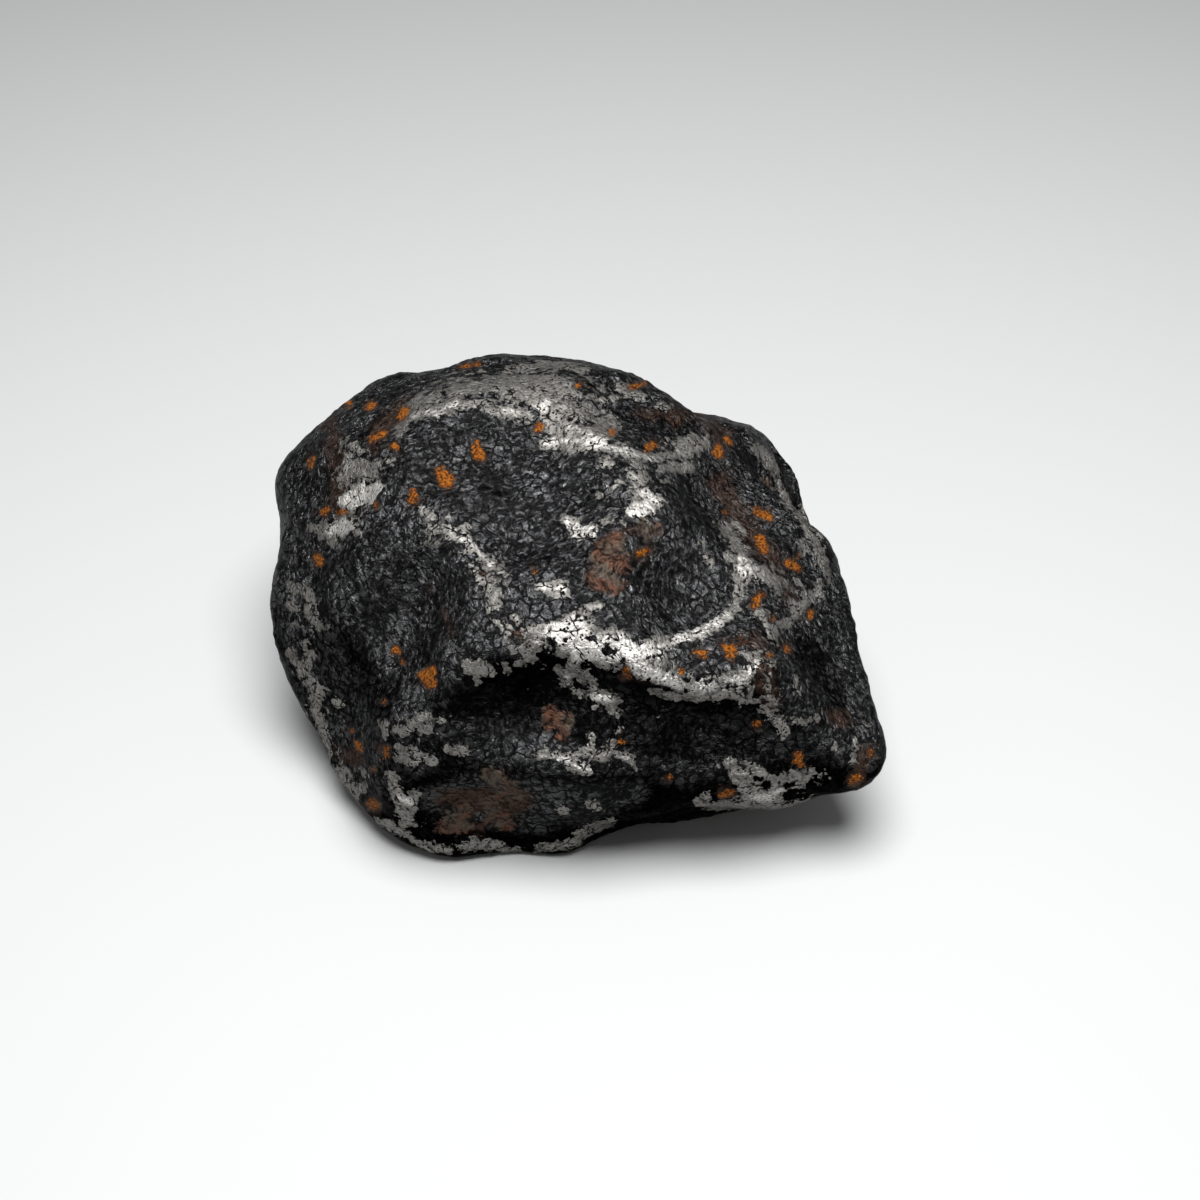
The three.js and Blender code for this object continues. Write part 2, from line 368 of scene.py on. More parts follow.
# Scattered islets of metal.
HAZE: Areas = {
    "crest": (
        ((408, 408, 8), (430, 398, 12), (470, 386, 14), (510, 382, 16), (550, 384, 18), (590, 400, 16)),
        ((590, 384, 8), (612, 394, 6)),
    ),
    "crest end": (((672, 442, 5), (704, 444, 7)),),
    "crest lip": (((560, 446, 8), (600, 446, 8), (640, 456, 8), (680, 462, 8)),),
    "left shoulder": (((350, 448, 8), (350, 480, 14), (356, 504, 12), (338, 526, 10)),),
    "saddle": (((632, 470, 6), (644, 492, 8), (640, 512, 8), (600, 520, 6)),),
    "ridge": (((430, 520, 7), (452, 534, 10), (470, 548, 11), (490, 574, 11), (492, 600, 10)),),
    "brow": (
        ((528, 634, 9), (560, 640, 12), (600, 654, 12), (650, 664, 11), (700, 680, 9), (744, 686, 10)),
    ),
    "below brow": (((560, 668, 8), (586, 688, 8), (612, 702, 6)),),
    "right rim": (((722, 520, 6), (736, 546, 9), (752, 568, 10), (784, 584, 9), (812, 596, 7)),),
    "right edge": (((798, 520, 5), (812, 548, 7), (826, 580, 5)),),
    "lesser": (((762, 614, 6), (780, 628, 7), (764, 660, 8), (768, 700, 8), (784, 726, 6)),),
    "nose": (((730, 766, 6), (750, 784, 10), (790, 784, 9), (820, 776, 6)),),
    "left edge": (
        ((294, 588, 1), (306, 610, 4), (304, 656, 4), (316, 700, 5), (326, 745, 4), (350, 784, 5)),
    ),
    "left low": (((318, 528, 7), (336, 532, 8)),),
    "flank": (((390, 728, 5), (414, 726, 8), (440, 722, 4)), ((404, 758, 6), (432, 762, 5))),
    "foot": (((392, 776, 6), (402, 800, 10), (410, 820, 7)),),
    "ledge": (((540, 757, 6), (566, 758, 7), (590, 764, 7), (612, 750, 5)),),
}

# Painted highlights: strokes where the metal is drawn brightest, as if catching the lamp.
HIGHLIGHT_STROKES: Areas = {
    "brow": (
        ((552, 632, 8), (574, 630, 13), (582, 646, 12), (600, 648, 11), (624, 646, 10), (650, 652, 9)),
        ((646, 652, 3), (672, 642, 4), (700, 632, 4), (728, 616, 3)),
        ((636, 664, 5), (660, 674, 5), (690, 684, 4), (716, 686, 3)),
    ),
    "crest lip": (((545, 442, 1), (572, 440, 2), (600, 444, 4), (630, 454, 3), (652, 457, 1)),),
    "crest": (
        ((566, 424, 0.5), (590, 434, 1)), ((412, 416, 1), (436, 412, 2), (457, 404, 1)),
        ((506, 412, 1), (524, 412, 2), (548, 404, 3)),
    ),
    "ridge": (((452, 530, 0.5), (472, 544, 0.5), (490, 566, 1)),),
    "shoulder": (((346, 502, 8), (360, 497, 10), (376, 490, 8)), ((334, 530, 6), (346, 526, 9))),
    "saddle": (
        ((632, 510, 6), (646, 507, 8), (656, 502, 4)), ((640, 494, 4), (654, 499, 4)),
        ((568, 524, 5), (580, 534, 5), (592, 530, 4)), ((546, 586, 3), (562, 588, 3)),
    ),
    "right rim": (((742, 560, 5), (744, 570, 6)),),
    "front": (((566, 672, 1), (568, 680, 1)), ((592, 698, 1), (610, 700, 1))),
    "ledge": (((548, 757, 1), (568, 760, 1), (588, 770, 2)),),
    "foot": (((398, 796, 2), (408, 802, 3)),),
    "nose": (((752, 796, 3), (766, 796, 3), (780, 790, 2)),),
    "lesser": (((728, 680, 4), (744, 678, 4), (756, 664, 3)),),
}

# The brow's sharp edge.
BULGE: Areas = {
    "brow": (((556, 652, 12), (586, 662, 18), (620, 668, 16), (660, 676, 12), (700, 690, 8)),),
}

# Painted sheen: strokes where the crust is drawn lighter, as if catching light.
SHEEN_AREAS: Areas = {
    "foot": (((432, 800, 14), (474, 796, 26), (530, 806, 28), (584, 802, 22), (636, 792, 12)),),
    "upper flank": (((748, 446, 8), (764, 480, 12), (784, 530, 10)),),
    "left rim": (((292, 540, 7), (290, 575, 7), (292, 600, 5)),),
    "left hollow": (((366, 548, 10), (380, 580, 14), (392, 616, 12)),),
    "right hollow": (((668, 560, 14), (690, 590, 18), (660, 606, 12)),),
}

# Painted shade: strokes where the crust is drawn darker, as if in shade.
SHADE_AREAS: Areas = {
    "front": (
        ((432, 704, 14), (500, 704, 20), (560, 712, 26), (640, 730, 26), (700, 742, 24), (750, 744, 12)),
    ),
    "left flank": (((346, 640, 8), (364, 670, 16), (382, 706, 14)),),
    "nose": (((806, 640, 12), (822, 668, 16), (842, 706, 10)),),
    "crest": (((628, 414, 10), (660, 418, 12), (690, 424, 8)),),
}

# The groove behind the far shoulder, sunk and painted darker as shade.
GROOVE: Areas = {
    "behind the shoulder": (((776, 446, 2), (784, 466, 3), (793, 488, 3.5), (803, 510, 3), (810, 524, 2)),),
}

# Orange grains.
GRAIN: Areas = {
    "great hollow": (((441, 471, 5), (446, 479, 8)), ((476, 444, 4), (479, 454, 5.5))),
    "ridge": (((413, 493, 4), (414, 499, 5)),),
    "crest": (((539, 426, 4.5),), ((613, 429, 2.5), (612, 433, 2))),
    "shoulder": (
        ((371, 439, 3.5), (382, 433, 4)), ((401, 413, 5), (405, 409, 4)), ((371, 403, 4), (368, 406, 3)),
        ((348, 403, 3.5),),
    ),
    "left": (((308, 466, 2.5), (312, 457, 3)),),
    "left low": (((322, 512, 3), (327, 508, 2.5)), ((338, 511, 3), (344, 511, 2))),
    "left edge": (((316, 558, 4.5), (318, 562, 4)),),
    "patch": (((375, 505, 2.5),),),
    "streak": (((394, 446, 3), (397, 448, 2)),),
    "rim": (
        ((462, 364, 1.5), (478, 362, 1.5)), ((579, 385, 3),), ((630, 387, 2), (646, 381, 2)),
        ((757, 600, 5), (762, 594, 3.5), (753, 605, 2.5)),
    ),
    "dark top": (((649, 446, 4), (654, 443, 4)),),
    "crest end": (((720, 452, 5.5), (718, 446, 3)), ((728, 438, 4), (731, 442, 2.5))),
    "flank": (
        ((726, 511, 2.5),), ((756, 510, 3), (764, 513, 3.5), (770, 516, 3)),
        ((761, 537, 4), (763, 545, 4), (765, 551, 3), (756, 538, 2)), ((790, 562, 4), (799, 567, 4)),
        ((800, 555, 2),), ((424, 674, 6), (429, 682, 6), (430, 669, 4)), ((395, 650, 3),),
        ((401, 661, 2.5),), ((384, 701, 2.5),),
    ),
    "right": (((811, 613, 4), (810, 616, 3)),),
    "right dot": (((774, 618, 2.5),),),
    "lesser": (
        ((731, 647, 5), (728, 655, 2.5), (734, 654, 2), (723, 643, 2)), ((742, 640, 3.5),),
        ((698, 650, 4), (704, 652, 4)), ((733, 660, 2),),
    ),
    "right low": (((788, 648, 4),),),
    "right low left": (((771, 653, 3), (769, 656, 2)),),
    "brow": (((627, 669, 4), (629, 673, 2.5)), ((681, 671, 2.5),)),
    "ledge": (((757, 725, 4), (754, 724, 2)),),
    "nose": (
        ((722, 795, 3.5), (731, 793, 3)), ((670, 777, 2.5),), ((798, 756, 4), (801, 764, 4), (796, 762, 3)),
        ((858, 777, 4), (852, 783, 4)), ((872, 750, 3), (871, 756, 2)),
    ),
    "foot": (
        ((356, 744, 3.5), (360, 750, 2.5)), ((351, 731, 2.5),), ((386, 750, 3.5), (385, 756, 2)),
        ((370, 804, 4.5), (376, 808, 3)), ((372, 770, 2),),
    ),
    "saddle": (((641, 553, 3.5), (648, 549, 3)), ((535, 569, 2.5),)),
    "front": (((622, 742, 2.5),),),
}

# Brown-red patches.
STAIN: Areas = {
    "saddle": (
        ((618, 540, 10), (606, 548, 14), (604, 562, 16), (600, 576, 14), (610, 583, 12), (620, 586, 8)),
        ((616, 552, 12), (622, 566, 11)), ((646, 524, 9), (654, 528, 9), (648, 534, 6)),
    ),
    "front": (((548, 708, 5), (550, 722, 10), (566, 720, 9), (562, 736, 8)),),
    "foot": (
        ((488, 772, 8), (500, 780, 12), (512, 789, 11), (520, 797, 6)),
        ((498, 797, 8), (490, 806, 8), (496, 816, 11), (506, 824, 9)),
        ((443, 826, 8), (456, 820, 13), (464, 812, 10), (466, 827, 8)),
    ),
    "brow": (((514, 634, 5), (522, 632, 5), (522, 642, 3)),),
    "ridge": (((481, 574, 4), (491, 575, 4)),),
}

# Rust on the crust.
TINT: Areas = {
    "left shoulder": (((330, 420, 8), (336, 450, 12), (338, 480, 13), (330, 510, 9)),),
    "shoulder": (((372, 446, 12), (384, 424, 14), (404, 404, 12)),),
    "left hollow": (((430, 580, 3), (440, 604, 5), (452, 630, 4)),),
    "dark top": (((640, 410, 8), (670, 412, 10), (700, 416, 10), (724, 436, 12)),),
    "right flank": (((720, 480, 16), (740, 520, 16), (770, 560, 14), (790, 600, 12)),),
    "lesser": (((756, 640, 12), (764, 668, 14), (772, 704, 12)),),
    "nose": (((826, 716, 9), (844, 720, 10)), ((852, 782, 8), (868, 754, 8))),
    "foot": (
        ((330, 750, 6), (360, 760, 10)), ((446, 800, 14), (490, 800, 18), (526, 800, 12), (480, 826, 10)),
    ),
    "front": (((630, 672, 3), (664, 680, 3)),),
    "saddle": (((600, 556, 6), (622, 532, 8), (650, 522, 6)),),
}

@dataclass
class Marks:
    """The front's strokes, mark by mark."""

    metal: Areas = field(default_factory=METAL.copy)
    haze: Areas = field(default_factory=HAZE.copy)
    bright: Areas = field(default_factory=HIGHLIGHT_STROKES.copy)
    bulge: Areas = field(default_factory=BULGE.copy)
    # Strokes of painted sheen.
    pale: Areas = field(default_factory=SHEEN_AREAS.copy)
    # Strokes of painted shade.
    dark: Areas = field(default_factory=SHADE_AREAS.copy)
    groove: Areas = field(default_factory=GROOVE.copy)
    grain: Areas = field(default_factory=GRAIN.copy)
    stain: Areas = field(default_factory=STAIN.copy)
    tint: Areas = field(default_factory=TINT.copy)


@dataclass
class Skin:
    """The stone's finer skin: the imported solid's shape, subdivided, with relief and marks."""

    view: Viewpoint
    marks: Marks
    levels: int = 2
    seed: int = 11
    spread: float = 0.1
    haze: float = 0.35
    hidden_grains: int = 70
    hidden_stains: int = 9
    swell: float = 0.55
    dimple: float = 0.26
    wrinkle: float = 0.12
    metal_rise: float = 0.12
    grain_rise: float = 0.3
    grain_pit: float = 0.3
    groove_depth: float = 1.6
    bulge_rise: float = 1.2
    sheen_strength: float = 0.7
    shade_strength: float = 0.75

    def build(self, node: bpy.types.Object) -> bpy.types.Object:
        """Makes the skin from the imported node.

        Args:
            node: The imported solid.

        Returns:
            The finished piece, not yet dressed.
        """
        coarse, faces = self._welded(node)
        piece = self._fine(coarse, faces)
        mesh = piece.data
        points = self._read(mesh.vertices, "co")
        normals = self._read(mesh.vertices, "normal")
        ridge = self._read_attribute(mesh, "ridge")
        corners = [Vector(point) for point in points.tolist()]
        tree = BVHTree.FromPolygons(corners, [tuple(face.vertices) for face in mesh.polygons])
        fields = self._fields(points, normals, ridge, tree)
        relief = self._relief(points, fields)
        settled = ease(0.2, 2.5, points[:, 2])
        moved = points + normals * (relief * settled)[:, None]
        moved[:, 2] = np.maximum(moved[:, 2], 0)
        mesh.vertices.foreach_set("co", (moved * MM).astype(np.float32).ravel())
        for mark, values in fields.items():
            attribute = mesh.attributes.new(mark.value, "FLOAT", "POINT")
            attribute.data.foreach_set("value", values.astype(np.float32))
        mesh.attributes.remove(mesh.attributes["ridge"])
        mesh.polygons.foreach_set("use_smooth", np.ones(len(mesh.polygons), bool))
        mesh.update()
        return piece

    @staticmethod
    def _read(items: bpy.types.bpy_prop_collection, name: str) -> np.ndarray:
        """Reads a property of three numbers.

        Args:
            items: The items that have it, such as a mesh's points.
            name: The property.

        Returns:
            One row for each item.
        """
        values = np.zeros(len(items) * 3, np.float32)
        items.foreach_get(name, values)
        return values.reshape(-1, 3).astype(float)

    @staticmethod
    def _read_attribute(mesh: bpy.types.Mesh, name: str) -> np.ndarray:
        """Reads one number for each point of a mesh.

        Args:
            mesh: The mesh.
            name: Its attribute.

        Returns:
            The numbers.
        """
        values = np.zeros(len(mesh.vertices), np.float32)
        mesh.attributes[name].data.foreach_get("value", values)
        return values.astype(float)

    def _welded(self, node: bpy.types.Object) -> tuple[np.ndarray, np.ndarray]:
        """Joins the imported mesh's points that lie together.

        Args:
            node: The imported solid.

        Returns:
            Its points in millimetres, and its triangles as rows of three of them.
        """
        raw = self._read(node.data.vertices, "co") / MM
        _, keep, index = np.unique(raw.round(3), axis=0, return_index=True, return_inverse=True)
        node.data.calc_loop_triangles()
        corners = np.zeros(len(node.data.loop_triangles) * 3, np.int32)
        node.data.loop_triangles.foreach_get("vertices", corners)
        return raw[keep], index.ravel()[corners].reshape(-1, 3)

    def _fine(self, points: np.ndarray, faces: np.ndarray) -> bpy.types.Object:
        """Makes the subdivided piece, with how far each point stands out of its surroundings.

        Args:
            points: Points of the coarse skin, in millimetres.
            faces: Its triangles.

        Returns:
            The piece, still in millimetres, with the attribute "ridge".
        """
        mesh = bpy.data.meshes.new("meteorite_skin")
        mesh.from_pydata(points.tolist(), [], faces.tolist())
        mesh.update()
        normals = self._read(mesh.vertices, "normal")
        edges = np.concatenate([faces[:, [0, 1]], faces[:, [1, 2]], faces[:, [2, 0]]])
        edges = np.concatenate([edges, edges[:, ::-1]])
        count = np.bincount(edges[:, 0], minlength=len(points))[:, None]
        mean = points
        for _ in range(3):
            total = np.zeros_like(points)
            np.add.at(total, edges[:, 0], mean[edges[:, 1]])
            mean = total / count
        ridge = mesh.attributes.new("ridge", "FLOAT", "POINT")
        ridge.data.foreach_set("value", np.einsum("ij,ij->i", points - mean, normals).astype(np.float32))
        piece = bpy.data.objects.new("meteorite_skin", mesh)
        bpy.context.scene.collection.objects.link(piece)
        smoother = piece.modifiers.new("smooth", "SUBSURF")
        smoother.levels = smoother.render_levels = self.levels
        fine = bpy.data.meshes.new_from_object(piece.evaluated_get(bpy.context.evaluated_depsgraph_get()))
        piece.modifiers.clear()
        piece.data = fine
        return piece

    def _facing(self, points: np.ndarray, normals: np.ndarray, tree: BVHTree) -> np.ndarray:
        """How squarely each point faces the camera.

        Args:
            points: Points of the skin, in millimetres.
            normals: Their directions.
            tree: The skin.

        Returns:
            From 1 where a point faces the camera to -1 where it faces away or something hides it.
        """
        to_eye = np.array(self.view.eye) - points
        facing = np.einsum("ij,ij->i", normals, to_eye) / np.linalg.norm(to_eye, axis=1)
        for index in np.flatnonzero(facing > 0):
            start = Vector(points[index] + normals[index] * 0.3)
            if tree.ray_cast(start, Vector(to_eye[index]).normalized())[0] is not None:
                facing[index] = -1
        return facing

    @staticmethod
    def _inside(points: np.ndarray, traces: Sequence[np.ndarray], floor: float) -> np.ndarray:
        """How far inside the nearest of several strokes each point lies.

        Args:
            points: Points in the frame or on the skin, one row each.
            traces: Strokes as rows of a point and a half width.
            floor: The lowest value that is told apart.

        Returns:
            One number for each point, above 0 inside a stroke.
        """
        best = np.full(len(points), floor)
        for trace in traces:
            ends = trace if len(trace) > 1 else np.repeat(trace, 2, axis=0)
            for start, end in zip(ends, ends[1:]):
                along = end[:-1] - start[:-1]
                reach = max(start[-1], end[-1]) - floor + np.linalg.norm(along) / 2
                near = np.linalg.norm(points - (start[:-1] + end[:-1]) / 2, axis=1) < reach
                share = np.clip((points[near] - start[:-1]) @ along / max(along @ along, 1e-9), 0, 1)
                away = np.linalg.norm(points[near] - start[:-1] - share[:, None] * along, axis=1)
                best[near] = np.maximum(best[near], start[-1] + share * (end[-1] - start[-1]) - away)
        return best

    def _fields(
        self, points: np.ndarray, normals: np.ndarray, ridge: np.ndarray, tree: BVHTree
    ) -> dict[Mark, np.ndarray]:
        """Works out every mark at every point of the skin.

        Args:
            points: Points of the skin, in millimetres.
            normals: Their directions.
            ridge: How far each stands out of its surroundings.
            tree: The skin, for laying the front's marks on it.

        Returns:
            For each mark, millimetres inside its edge at each point.
        """
        noise = Noise(self.seed)
        rng = np.random.default_rng(self.seed)
        facing = self._facing(points, normals, tree)
        hidden = ease(0.10, -0.06, facing)
        pixels = self.view.pixels(points)
        grains = self._scattered(rng, points, hidden, self.hidden_grains, 0.35, 0.95)
        stains = self._scattered(rng, points, hidden, self.hidden_stains, 1.5, 3.2)

        def laid(areas: Areas, scattered: Sequence[np.ndarray] = ()) -> np.ndarray:
            """Joins the strokes that are seen from the front with those on the hidden sides.

            Args:
                areas: The front's strokes.
                scattered: The hidden sides' strokes.

            Returns:
                Millimetres inside the nearest stroke, for each point of the skin.
            """
            strokes = [np.array(trace, float) for traces in areas.values() for trace in traces]
            seen = self._inside(pixels, strokes, OUTSIDE / self.view.pixel_mm) * self.view.pixel_mm
            return np.maximum(np.where(facing > 0, seen, OUTSIDE), self._inside(points, scattered, OUTSIDE))

        cell, _ = noise.cells(points + 0.6 * noise.smooth(points, 2.6)[:, None], 1.9)
        lobes = 0.9 * (0.55 - cell) + 0.3 * noise.smooth(points, 4.5) + 0.45 * noise.smooth(points, 1.6)
        rubbed = 2.6 * ridge + 2.6 * noise.smooth(points, 17.0) + 1.6 * noise.smooth(points, 7.0) - 2.6
        haze = np.minimum(0.4 * laid(self.marks.haze), self.haze) - self.haze + 1.8 * lobes
        metal = np.maximum(laid(self.marks.metal) + self.spread + lobes, haze)
        behind = np.minimum(rubbed, 0.3) + 1.7 * lobes - 4 * (1 - hidden)
        metal = np.maximum(metal, np.where(hidden > 0, behind, OUTSIDE))
        grain = laid(self.marks.grain, grains)
        stain = laid(self.marks.stain, stains)
        # Painted light: the crust drawn lighter as it faces up or to the left; the painted-shade strokes
        # darken it, the painted-sheen strokes and the hidden sides lighten it.
        upward = normals[:, 2] - 0.35 * np.minimum(normals[:, 0], 0) + 0.15 * noise.smooth(points, 9.0)
        pale, dark = (ease(-1.6, 2.0, laid(areas)) for areas in (self.marks.pale, self.marks.dark))
        top_light = ease(0.0, 0.8, upward) * (1 - self.shade_strength * dark)
        return {
            Mark.METAL: metal,
            Mark.GRAIN: grain + 0.25 * noise.smooth(points, 1.6),
            Mark.STAIN: stain + 0.5 * noise.smooth(points, 3.5) + 0.25 * noise.smooth(points, 1.4),
            Mark.TINT: np.maximum(laid(self.marks.tint), grain + 0.8) + 1.2 * noise.smooth(points, 6.0),
            Mark.GROOVE: laid(self.marks.groove),
            # Painted highlights on the metal.
            Mark.HIGHLIGHT_STROKES: laid(self.marks.bright) + 0.6 * lobes,
            Mark.BULGE: laid(self.marks.bulge),
            Mark.PAINTED_LIGHT: np.maximum(top_light, self.sheen_strength * pale + 0.2 * hidden),
        }

    def _scattered(
        self,
        rng: np.random.Generator,
        points: np.ndarray,
        hidden: np.ndarray,
        count: int,
        least: float,
        most: float,
    ) -> list[np.ndarray]:
        """Scatters short marks over the hidden sides.

        Args:
            rng: The draws.
            points: Points of the skin, in millimetres.
            hidden: From 0 where the front is seen to 1 where it isn't.
            count: How many marks.
            least: The smallest half width, in millimetres.
            most: The largest.

        Returns:
            Strokes as rows of x, y, z and half width.
        """
        chosen = rng.choice(len(points), count, replace=False, p=hidden / hidden.sum())
        strokes = []
        for index in chosen:
            half = least + (most - least) * rng.random() ** 2
            end = points[index] + rng.normal(size=3) * half * 0.7
            strokes.append(np.array([[*points[index], half], [*end, half * (0.6 + 0.4 * rng.random())]]))
        return strokes

    def _relief(self, points: np.ndarray, fields: dict[Mark, np.ndarray]) -> np.ndarray:
        """How far each point is moved out of the smooth shape.

        Args:
            points: Points of the skin, in millimetres.
            fields: The marks.

        Returns:
            Millimetres along the normal, for each point.
        """
        noise = Noise(self.seed + 1)
        bent = points + 1.5 * np.stack([noise.smooth(points + 31 * k, 6.0) for k in range(3)], axis=1)
        near, second = noise.cells(bent, 2.6)
        folds = 1 - np.abs(noise.smooth(bent, 4.2)) * 2.2
        smoothness = ease(0.0, 0.8, fields[Mark.METAL])
        relief = self.swell * noise.smooth(points, 12.0)
        patchy = ease(-0.3, 0.4, noise.smooth(points, 14.0))
        dimples = noise.smooth(bent, 5.2) + 0.7 * noise.smooth(bent, 2.3)
        relief += self.dimple * dimples * (1 - 0.4 * smoothness)
        relief += self.dimple * 0.7 * patchy * (folds - 0.5) * (1 - 0.5 * smoothness)
        relief += self.wrinkle * patchy * (ease(0.0, 0.45, second - near) - 0.6) * (1 - 0.6 * smoothness)
        relief += self.metal_rise * ease(-0.2, 0.5, fields[Mark.METAL])
        grain = fields[Mark.GRAIN]
        relief += self.grain_rise * ease(0.0, 0.8, grain) - self.grain_pit * ease(-1.0, -0.1, grain)
        relief += self.bulge_rise * ease(-2.8, 2.6, fields[Mark.BULGE])
        relief -= self.groove_depth * ease(-0.6, 0.6, fields[Mark.GROOVE])
        return relief


class Signal:
    """A socket of the material that expressions can be written with."""

    def __init__(self, recipe: "Recipe", socket: bpy.types.NodeSocket) -> None:
        """Keeps the material's recipe and the socket."""
        self.recipe = recipe
        self.socket = socket

    def _math(self, operation: str, first: "Signal | float", second: "Signal | float") -> "Signal":
        """Adds a Math node."""
        return self.recipe.node("ShaderNodeMath", {"operation": operation}, {0: first, 1: second})

    def __add__(self, other: "Signal | float") -> "Signal":
        """Sum."""
        return self._math("ADD", self, other)

    __radd__ = __add__

    def __mul__(self, other: "Signal | float") -> "Signal":
        """Product."""
        return self._math("MULTIPLY", self, other)

    __rmul__ = __mul__

    def __sub__(self, other: "Signal | float") -> "Signal":
        """Difference."""
        return self._math("SUBTRACT", self, other)

    def __rsub__(self, other: float) -> "Signal":
        """Difference from a number."""
        return self._math("SUBTRACT", other, self)

    def at_least(self, other: "Signal | float") -> "Signal":
        """The larger of two values."""
        return self._math("MAXIMUM", self, other)

    def rise(self, low: float, high: float) -> "Signal":
        """Rises smoothly from 0 at low to 1 at high."""
        values = {"Value": self, "From Min": low, "From Max": high}
        return self.recipe.node("ShaderNodeMapRange", {"interpolation_type": "SMOOTHSTEP"}, values)


@dataclass(frozen=True)
class Layer:
    """What a finish gives at each point of the skin: height is in millimetres."""

    colour: Signal
    roughness: Signal
    metallic: Signal
    height: Signal


class Recipe:
    """A material under construction, with the tint that dims the sheen of every finish at its edges."""

    EDGE: Colour = (0.45, 0.45, 0.45)

    def __init__(self, name: str) -> None:
        """Starts an empty material."""
        self.material = bpy.data.materials.new(name)
        self.material.use_nodes = True
        self.tree = self.material.node_tree
        self.tree.nodes.clear()

    def node(
        self,
        kind: str,
        settings: dict[str, object] | None = None,
        inputs: dict[int | str, object] | None = None,
        output: int | str = 0,
    ) -> Signal:
        """Adds any node.

        Args:
            kind: The node's type.
            settings: Its properties, set first.
            inputs: Values or links of its sockets, by number or name.
            output: Which of its outputs is wanted.

        Returns:
            That output.
        """
        made = self.tree.nodes.new(kind)
        for name, value in (settings or {}).items():
            setattr(made, name, value)
        for name, value in (inputs or {}).items():
            if isinstance(value, Signal):
                self.tree.links.new(value.socket, made.inputs[name])
            else:
                made.inputs[name].default_value = value
        return Signal(self, made.outputs[output] if made.outputs else None)

    def number(self, value: float) -> Signal:
        """Makes a fixed number that can stand where a changing one is wanted.

        Args:
            value: The number.

        Returns:
            Its socket.
        """
        made = self.node("ShaderNodeValue")
        made.socket.default_value = value
        return made

    def mark(self, mark: Mark) -> Signal:
        """One of the skin's marks, in millimetres inside its edge."""
        return self.node("ShaderNodeAttribute", {"attribute_name": mark.value}, output="Fac")

    def place(self) -> Signal:
        """Finds the point's own place on the stone, in millimetres."""
        place = self.node("ShaderNodeTexCoord", output="Object")
        return self.node("ShaderNodeVectorMath", {"operation": "SCALE"}, {0: place, "Scale": 1 / MM})

    def noise(self, place: Signal, size: float, detail: float = 2.0, rough: float = 0.5) -> Signal:
        """Smooth noise.

        Args:
            place: Where, in millimetres.
            size: Spacing of its lumps, in millimetres.
            detail: How many finer layers it has.
            rough: How strong the finer layers are.

        Returns:
            The value at that place, around 0.5.
        """
        inputs = {"Vector": place, "Scale": 1 / size, "Detail": detail, "Roughness": rough}
        return self.node("ShaderNodeTexNoise", {}, inputs, "Fac")

    def creases(self, place: Signal, size: float) -> Signal:
        """Thin crooked creases between rounded lumps.

        Args:
            place: Where, in millimetres.
            size: Spacing of the lumps, in millimetres.

        Returns:
            The value at that place, about 0.4 on the lumps and 1.8 in the creases.
        """
        inputs = {"Vector": place, "Scale": 1 / size, "Detail": 2.0, "Roughness": 0.6, "Offset": 1.0}
        return self.node("ShaderNodeTexNoise", {"noise_type": "RIDGED_MULTIFRACTAL"}, inputs, "Fac")

    def cells(self, place: Signal, size: float, feature: str = "F1") -> Signal:
        """Cellular noise.

        Args:
            place: Where, in millimetres.
            size: Mean spacing of the cells, in millimetres.
            feature: Blender's name for what is measured.

        Returns:
            The distance at that place, in spacings.
        """
        inputs = {"Vector": place, "Scale": 1 / size}
        return self.node("ShaderNodeTexVoronoi", {"feature": feature}, inputs, "Distance")

    def stirred(self, place: Signal, size: float, reach: float) -> Signal:
        """Moves a place about, so that patterns on it run crooked.

        Args:
            place: The place, in millimetres.
            size: Spacing of the stirring.
            reach: How far it moves, in millimetres.

        Returns:
            The moved place.
        """
        inputs = {"Vector": place, "Scale": 1 / size, "Detail": 1.0}
        colour = self.node("ShaderNodeTexNoise", {}, inputs, "Color")
        middle = {0: colour, 1: (0.5, 0.5, 0.5)}
        centred = self.node("ShaderNodeVectorMath", {"operation": "SUBTRACT"}, middle)
        shift = self.node("ShaderNodeVectorMath", {"operation": "SCALE"}, {0: centred, "Scale": 2 * reach})
        return self.node("ShaderNodeVectorMath", {"operation": "ADD"}, {0: place, 1: shift})

    def mix(self, mask: Signal, first: "Signal | Colour", second: "Signal | Colour") -> Signal:
        """Mixes two colours.

        Args:
            mask: Share of the second.
            first: The first colour.
            second: The second colour.

        Returns:
            The mixed colour.
        """
        first, second = ((*c, 1.0) if isinstance(c, tuple) else c for c in (first, second))
        return self.node("ShaderNodeMix", {"data_type": "RGBA"}, {0: mask, 6: first, 7: second}, 2)

    def cover(self, mask: Signal, under: Layer, over: Layer) -> Layer:
        """Lays one finish over another.

        Args:
            mask: Where the upper one is, from 0 to 1.
            under: The lower finish.
            over: The upper finish.

        Returns:
            Both as one.
        """
        def blend(low: Signal, high: Signal) -> Signal:
            """Mixes two values by the mask."""
            return low + (high - low) * mask

        return Layer(
            self.mix(mask, under.colour, over.colour),
            blend(under.roughness, over.roughness),
            blend(under.metallic, over.metallic),
            blend(under.height, over.height),
        )

    def finish(self, layer: Layer, refraction: float) -> bpy.types.Material:
        """Closes the material.

        Args:
            layer: The finish that shows.
            refraction: Index of refraction of the crust.

        Returns:
            The material.
        """
        bump = self.node("ShaderNodeBump", {}, {"Height": layer.height, "Distance": MM, "Strength": 1.0})
        inputs = {
            "Base Color": layer.colour,
            "Roughness": layer.roughness,
            "Metallic": layer.metallic,
            "Normal": bump,
            "IOR": refraction,
            "Specular Tint": (*self.EDGE, 1.0),
        }
        shader = self.node("ShaderNodeBsdfPrincipled", {}, inputs)
        self.node("ShaderNodeOutputMaterial", {}, {"Surface": shader})
        return self.material


